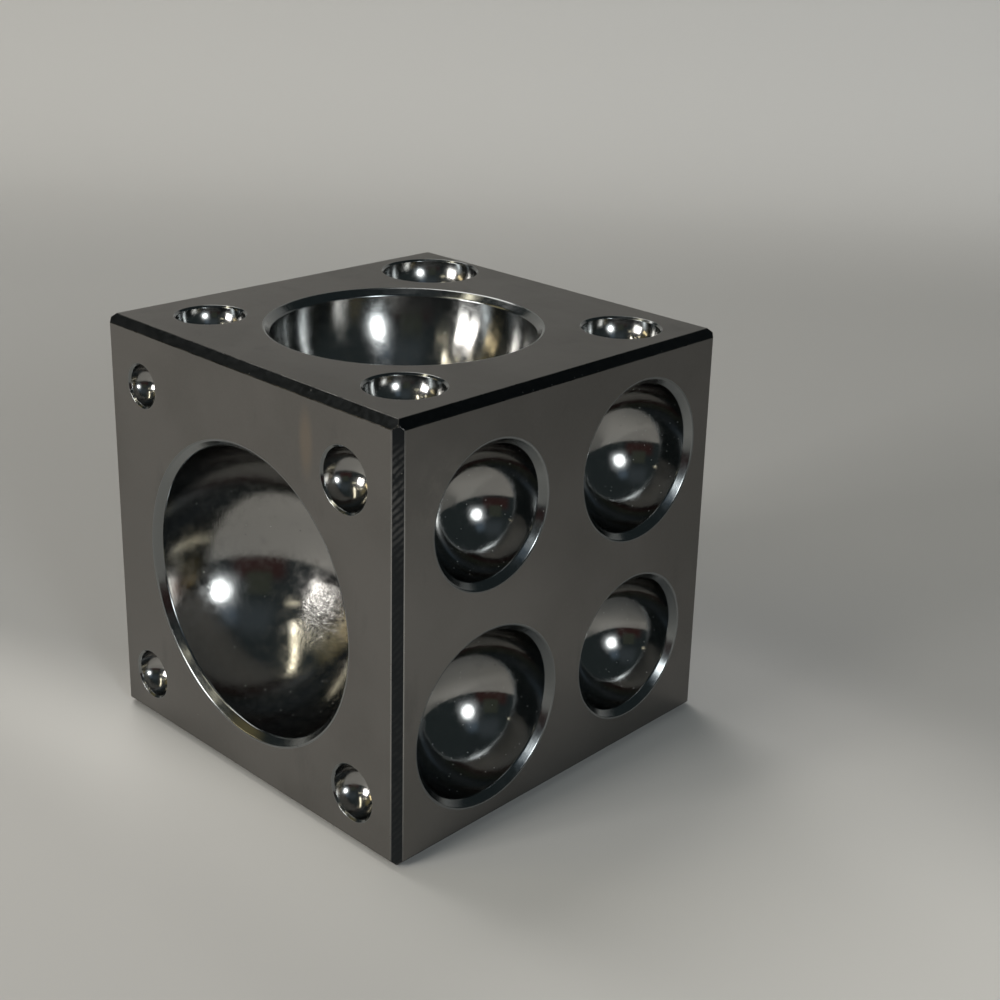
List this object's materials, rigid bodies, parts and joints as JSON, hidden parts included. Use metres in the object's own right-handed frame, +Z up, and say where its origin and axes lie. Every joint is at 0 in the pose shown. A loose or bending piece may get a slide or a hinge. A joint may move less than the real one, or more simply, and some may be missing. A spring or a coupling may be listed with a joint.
{
  "type": "dapping block",
  "caption": "Steel cube with chamfered edges and polished hemispherical dies of graded sizes on all its faces, for doming sheet metal with ball punches.",
  "frame": {"origin": "centre of the base face, on the surface that the block stands on", "axes": "+Z up, -Y out of the front face with the largest die, +X out of the right face with four dies"},
  "size_m": [0.065, 0.065, 0.065],
  "materials": {
    "steel": "hardened tool steel, faces and chamfers ground satin, dies and lips mirror-polished"
  },
  "bodies": {
    "root": {"block": "steel"}
  },
  "joints": []
}
